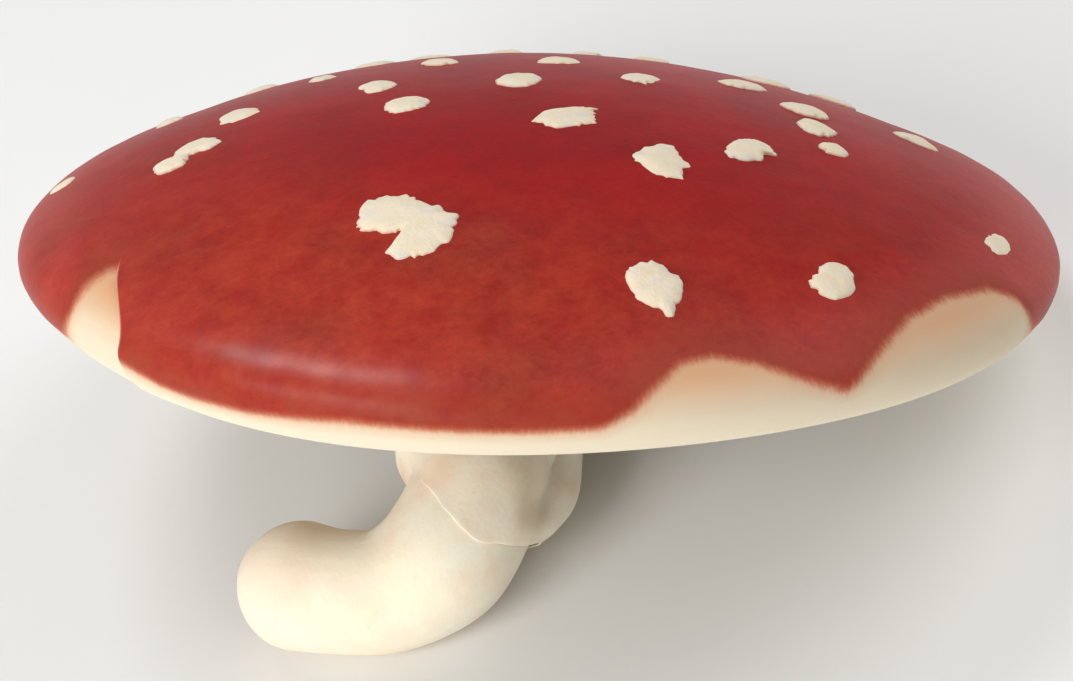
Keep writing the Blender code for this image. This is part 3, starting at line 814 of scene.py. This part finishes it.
def gillMaterial():
    made, tree, shader, place, colours = newMaterial("gillFlesh", gillColours)
    soft = noiseAt(place, 5.0, 3.0)
    fine = noiseAt(place, 0.8, 3.0)
    rim = times(fine, 0.2, attribute(tree, "down"))
    colour = layered(colours["pale"],
                     (remap(soft, 0.3, 0.7), colours["cream"]),
                     (remap(rim, 0.95, 1.2, 0.0, 0.5), colours["edge"]))
    bump(shader, fine, 0.06)
    setShader(shader, colour, 0.7, Specular_IOR_Level=0.3, Subsurface_Weight=0.2,
              Subsurface_Scale=1.5 * mm, Subsurface_Radius=(1.0, 0.75, 0.5))
    return made


# Stem: its line as (x, y, z, half width) in the cap's frame, from the flesh to the foot

stem = {
    "line": [(0.0, 0.0, 5.5, 10.0), (0.0, 0.0, -6.0, 10.1), (-1.8, -2.8, -18.0, 10.4),
             (-6.3, -14.0, -29.9, 10.4), (-8.9, -23.4, -34.4, 9.7), (-13.2, -29.7, -40.1, 9.7),
             (-20.1, -31.3, -44.2, 8.8), (-27.3, -29.6, -45.5, 8.8), (-33.1, -27.5, -45.7, 9.3)],
    "steps": 14, "footRings": 26, "sides": 132, "rise": 1.2, "flare": 0.9, "flareLength": 10.0,
    "swell": 0.35, "swellSize": 15.0, "fibres": 0.07, "fibreWidth": 0.11, "fibreLength": 9.0,
}


def stemPoint(place):
    line = [Vector(p) for p in stem["line"]]
    last = len(line) - 1
    i = min(int(place), last - 1)
    share = place - i
    before, start, end, after = (line[min(max(j, 0), last)] for j in (i - 1, i, i + 1, i + 2))
    square, cube = share ** 2, share ** 3
    mixed = start * (2 * cube - 3 * square + 1) + end * (3 * square - 2 * cube)
    mixed += (end - before) / 2 * (cube - 2 * square + share)
    return mixed + (after - start) / 2 * (cube - square)


def stemFrames(places):
    # centre, half width, along, across and towards the front at each place, without twist
    across, frames = Vector((1, 0, 0)), []
    for place in places:
        here = stemPoint(place)
        ahead = stemPoint(min(place + 0.02, len(stem["line"]) - 1))
        along = (ahead - stemPoint(max(place - 0.02, 0))).to_3d().normalized()
        across = (across - along * across.dot(along)).normalized()
        frames.append((here.to_3d(), here[3], along, across, along.cross(across)))
    return frames


def stemTree():
    tree, given = newTree("stalk", {
        "Int": ["Sides"], "Float": ["Swell", "Swell Size", "Fibres", "Fibre Width", "Fibre Length"]})
    length = addNode(tree, "GeometryNodeSplineParameter").outputs["Length"]
    line = keep(given["Geometry"], "along", length)
    position = nodeOut(tree, "GeometryNodeInputPosition")
    circle = nodeOut(tree, "GeometryNodeCurvePrimitiveCircle",
                     {"Resolution": given["Sides"], "Radius": 1.0})
    profile = keep(circle, "round", position, "FLOAT_VECTOR")
    radius = nodeOut(tree, "GeometryNodeInputRadius")
    surface = nodeOut(tree, "GeometryNodeCurveToMesh", {
        "Curve": line, "Profile Curve": profile, "Scale": radius, "Fill Caps": True})
    broad = wander(position, calc("DIVIDE", 1.0, given["Swell Size"]), given["Swell"])
    parts = addNode(tree, "ShaderNodeSeparateXYZ", {0: kept(tree, "round", "FLOAT_VECTOR")}).outputs
    where = joined(calc("DIVIDE", parts[0], given["Fibre Width"]),
                   calc("DIVIDE", parts[1], given["Fibre Width"]),
                   calc("DIVIDE", kept(tree, "along"), given["Fibre Length"]))
    fibres = wander(where, 1.0, given["Fibres"], 2.0)
    normal = nodeOut(tree, "GeometryNodeInputNormal")
    lift = nodeOut(tree, "ShaderNodeVectorMath",
                   {0: normal, "Scale": calc("ADD", broad, fibres)}, operation="SCALE")
    shaped = nodeOut(tree, "GeometryNodeSetPosition", {"Geometry": surface, "Offset": lift})
    finishTree(shaped, given["Material"])
    return tree


def makeStem(material):
    spans = (len(stem["line"]) - 1) * stem["steps"]
    frames = stemFrames([i / stem["steps"] for i in range(spans + 1)])
    rows = [(centre, half) for centre, half, *_ in frames]
    top = rows[0][0]
    for i, (centre, half) in enumerate(rows):
        near = float(smoothStep(stem["flareLength"], 0, top.z - centre.z))
        rows[i] = (centre, half + stem["flare"] * near)
    rows.insert(0, (top + Vector((0, 0, stem["rise"])), rows[0][1] + stem["flare"] * 0.4))
    foot, half, along = frames[-1][:3]
    for i in range(1, stem["footRings"] + 1):
        turn = math.pi / 2 * i / (stem["footRings"] + 0.3)
        rows.append((foot + along * half * math.sin(turn), half * math.cos(turn)))
    curve = bpy.data.curves.new("stemLine", "CURVE")
    curve.dimensions = "3D"
    line = curve.splines.new("POLY")
    line.points.add(len(rows) - 1)
    for point, (centre, half) in zip(line.points, rows):
        point.co = (*centre, 1)
        point.radius = half
    carrier = addObject("stemCarrier", curve)
    modifier = carrier.modifiers.new("stalk", "NODES")
    modifier.node_group = stemTree()
    setInputs(modifier, {"Material": material}, stem)
    piece = plainPiece("stemStalk", carrier, mmToFloor)
    for vertex in piece.data.vertices:
        vertex.co.z = max(vertex.co.z, 0)
    turnOutwards(piece)
    return piece


# foot is partly painted shade: a duller, pinker colour that darkens the stem's lower end
stemColours = {
    "pale": (255, 248, 228), "cream": (254, 240, 214), "pink": (252, 224, 198), "tan": (244, 216, 188),
    "foot": (242, 224, 201),
}
ringColours = {
    "pale": (255, 245, 219), "cream": (255, 234, 203), "pink": (253, 212, 180), "tan": (244, 206, 172),
    "foot": (255, 240, 214),
}


def stemMaterial(name, chosen):
    made, tree, shader, place, colours = newMaterial(name, chosen)
    broad = noiseAt(place, 14.0, 3.0, 0.5)
    blush = noiseAt(place, 10.0, 3.0, 0.55, 0.2)
    fine = noiseAt(place, 0.7, 4.0, 0.6)
    fibre = noiseAt(stretched(place, (1.0, 1.0, 0.25)), 1.2, 3.0)
    # the last layer is partly painted shade: it makes it duller and pinker towards the foot
    colour = layered(colours["pale"],
                     (remap(broad, 0.35, 0.65), colours["cream"]),
                     (remap(blush, 0.42, 0.72, 0.0, 0.8), colours["pink"]),
                     (remap(fibre, 0.55, 0.8, 0.0, 0.3), colours["tan"]),
                     (remap(attribute(tree, "along"), 64.0, 92.0, 0.0, 0.85), colours["foot"]))
    bump(shader, times(fine, 0.5, times(fibre, 0.5)), 0.07)
    setShader(shader, colour, 0.62, Specular_IOR_Level=0.25, Subsurface_Weight=0.25,
              Subsurface_Scale=3.0 * mm, Subsurface_Radius=(1.0, 0.65, 0.4))
    return made


# Ring: a skirt round the stem between two places on its line

ring = {
    "from": 2.45, "gap": 0.3, "wall": 0.8,
    # place of the hem on the stem's line by the angle round it: 0 right, 90 front, 180 left
    "hem": [(0, 4.2), (30, 4.52), (65, 4.77), (95, 4.62), (120, 4.4), (150, 4.14), (175, 3.82),
            (200, 3.76), (260, 3.86), (320, 4.02), (360, 4.2)],
    # how far it stands out at each share of its length: all round, to the left and to the right
    "round": [(0, 0.0), (0.15, 0.3), (0.35, 0.8), (0.6, 1.0), (0.85, 0.6), (1, 0.15)],
    "left": [(0, 0.0), (0.15, 0.6), (0.3, 1.6), (0.5, 2.9), (0.62, 2.9), (0.8, 1.6), (1, 0.1)],
    "right": [(0, 0.0), (0.12, 0.6), (0.25, 1.6), (0.4, 2.4), (0.6, 3.0), (0.8, 2.3), (1, 0.7)],
    "leftSide": 185.0, "leftSpan": 42.0, "rightSide": 2.0, "rightSpan": 42.0,
    "fold": 3.0, "foldSpan": 24.0, "foldRightSpan": 9.0, "foldFrom": 32.0, "foldTo": 16.0,
    "foldRows": (0.05, 0.3, 0.7, 0.95),
    "pleats": 9, "pleatDepth": 0.12, "sides": 220, "rows": 44, "hemRows": 6, "hemSpan": 14.0,
    "closed": 0.6, "thinning": 0.68, "grownOn": 0.16, "outerRoot": 0.25, "innerRoot": 0.6,
    "groove": 0.05, "grooves": 52, "ragged": 0.35, "raggedSize": 3.0,
    "wrinkle": 0.3, "wrinkleSize": 5.0,
}


def hemPlace(turn):
    turns, places = zip(*ring["hem"])
    around = (turn + np.linspace(-ring["hemSpan"], ring["hemSpan"], 15)) % 360
    return float(np.interp(around, turns, places).mean())


def softCurve(knots, value):
    places, heights = zip(*knots)
    around = value + np.linspace(-0.08, 0.08, 9)
    return float(np.interp(around, places, heights).mean()) * float(smoothStep(0, 0.1, value))


def ringStandOff(turn, down):
    left = bell(turnFrom(ring["leftSide"], turn), ring["leftSpan"])
    right = bell(turnFrom(ring["rightSide"], turn), ring["rightSpan"])
    made = softCurve(ring["round"], down) * (1 - left) * (1 - right)
    made += softCurve(ring["left"], down) * left + softCurve(ring["right"], down) * right
    foldAt = ring["foldFrom"] + (ring["foldTo"] - ring["foldFrom"]) * down
    strength = band(*ring["foldRows"], down)
    span = ring["foldSpan"] if foldAt < turn < foldAt + 180 else ring["foldRightSpan"]
    made -= ring["fold"] * strength * bell(turnFrom(foldAt, turn), span)
    pleat = ring["pleatDepth"] * math.cos(math.radians(ring["pleats"] * turn)) * down
    return made + pleat


def ringColumn(turn):
    # points of the outside, round the hem and back up the inside, at one angle round the stem
    length = hemPlace(turn) - ring["from"]
    shares = np.linspace(0, 1, ring["rows"] + 1)
    frames = stemFrames([ring["from"] + length * share for share in shares])
    outside, inside, along = [], [], Vector()
    for share, (centre, half, along, across, front) in zip(shares, frames):
        out = across * direction(turn).x + front * direction(turn).y
        shut = ring["closed"] * float(smoothStep(0.6, 1.0, share))
        shut *= 1 - bell(turnFrom(ring["rightSide"], turn), ring["rightSpan"])
        reach = half + ring["gap"] + ringStandOff(turn, share) - shut
        spot = centre + out * reach
        grown = float(smoothStep(0, ring["grownOn"], share))
        crease = float(lumps(tuple(spot), ring["wrinkleSize"], 8)) * share * grown
        crease *= ring["wrinkle"] * (1 - 1.4 * shut)
        crease += ring["groove"] * math.cos(math.radians(ring["grooves"] * turn)) * share * (1 - share)
        slide = ring["ragged"] * float(lumps(tuple(spot), ring["raggedSize"], 9)) * share ** 6
        base = spot + along * slide + out * crease
        thick = ring["wall"] * (1 - ring["thinning"] * share)
        outside.append(base + out * (thick * grown - (1 - grown) * (ring["gap"] + ring["outerRoot"])))
        inside.append(base - out * (1 - grown) * (ring["gap"] + ring["innerRoot"]))
    middle, spread = (outside[-1] + inside[-1]) / 2, (outside[-1] - inside[-1]) / 2
    hem = []
    for i in range(1, ring["hemRows"]):
        angle = math.pi * i / ring["hemRows"]
        hem.append(middle + spread * math.cos(angle) + along * spread.length * math.sin(angle))
    return outside + hem + inside[::-1]


def makeRing(material):
    columns = [ringColumn(360 * k / ring["sides"]) for k in range(ring["sides"])]
    points = np.array(columns).transpose(1, 0, 2)
    faces = ringFaces(len(points), ring["sides"], closed=True)
    piece = meshOf("ringSkirt", onFloor(points), faces, material)
    turnOutwards(piece)
    return piece


# Floor, light and camera

studio = {
    "floorSide": 3.0, "worldStrength": 0.34,
    "key": {"azimuth": -139.0, "elevation": 30.0, "distance": 0.9, "size": 0.5, "power": 4.1},
    "low": {"azimuth": -124.0, "elevation": 9.0, "distance": 1.0, "size": 0.45, "power": 2.9},
    "fill": {"azimuth": 12.0, "elevation": 50.0, "distance": 1.1, "size": 0.8, "power": 3.4},
    "back": {"azimuth": 116.0, "elevation": 65.0, "distance": 1.1, "size": 0.5, "power": 3.4},
}
floorColours = {"pale": (238, 238, 237), "grain": (236.4, 236.4, 235.4)}
view = {
    "distance": 375.0, "elevation": 17.4, "aim": (-0.2, 0.0, -18.0), "lens": 85.9, "roll": 0.7,
}


def makeFloor():
    made, _, shader, place, colours = newMaterial("paleFloor", floorColours)
    grain = noiseAt(place, 60.0, 2.0)
    colour = mixColours(remap(grain, 0.3, 0.7), colours["pale"], colours["grain"])
    setShader(shader, colour, 0.9, Specular_IOR_Level=0.2)
    half = studio["floorSide"] / 2
    corners = [(-half, -half, 0), (half, -half, 0), (half, half, 0), (-half, half, 0)]
    meshOf("floor", corners, [(0, 1, 2, 3)], made)


def addLight(name, values):
    data = bpy.data.lights.new(name, "AREA")
    data.shape, data.size, data.energy = "DISK", values["size"], values["power"]
    away = direction(values["azimuth"]) * math.cos(math.radians(values["elevation"]))
    away.z = math.sin(math.radians(values["elevation"]))
    lamp = addObject(name, data)
    lamp.location = away * values["distance"]
    lamp.rotation_mode = "QUATERNION"
    lamp.rotation_quaternion = away.to_track_quat("Z", "Y")


def addWorld():
    world = bpy.data.worlds.new("paleRoom")
    world.use_nodes = True
    background = world.node_tree.nodes["Background"]
    background.inputs["Color"].default_value = (1.0, 1.0, 1.0, 1.0)
    background.inputs["Strength"].default_value = studio["worldStrength"]
    bpy.context.scene.world = world
    bpy.context.scene.view_settings.view_transform = "Standard"


def addCamera():
    data = bpy.data.cameras.new("camera")
    data.lens, data.sensor_width, data.clip_start = view["lens"], 36.0, 0.01
    lift, roll = math.radians(view["elevation"]), math.radians(view["roll"])
    place = Vector((0, -math.cos(lift), math.sin(lift))) * view["distance"]
    forward = (-place).normalized()
    right = Vector((1, 0, 0))
    upright = right.cross(forward)
    pictureUp = upright * math.cos(roll) - right * math.sin(roll)
    back = (place - Vector(view["aim"])).normalized()
    sideways = pictureUp.cross(back).normalized()
    axes = Matrix((sideways, back.cross(sideways), back)).transposed().to_4x4()
    camera = addObject("camera", data)
    turned = (capToFloor.to_3x3() @ axes.to_3x3()).to_4x4()
    camera.matrix_world = Matrix.Translation(mmToFloor @ place) @ turned
    bpy.context.scene.camera = camera


addWorld()
makeFloor()
for lampName in ("key", "low", "fill", "back"):
    addLight(lampName, studio[lampName])
addCamera()
print("stage: floor, light and camera")

dressed = [
    (makeCap(skinMaterial()), "cap", "cap_skin"),
    (makeWarts(wartMaterial()), "cap", "cap_skin"),
    (makeGills(gillMaterial()), "gills", "gill_flesh"),
    (makeStem(stemMaterial("stemFlesh", stemColours)), "stem", "stem_flesh"),
    (makeRing(stemMaterial("ringFlesh", ringColours)), "ring", "ring_flesh"),
]
for piece, node, slotName in dressed:
    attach(piece, "root")
    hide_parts(node)
    print("piece:", piece.name, len(piece.data.vertices), "points", len(piece.data.polygons), "faces")

print("stage: finished")
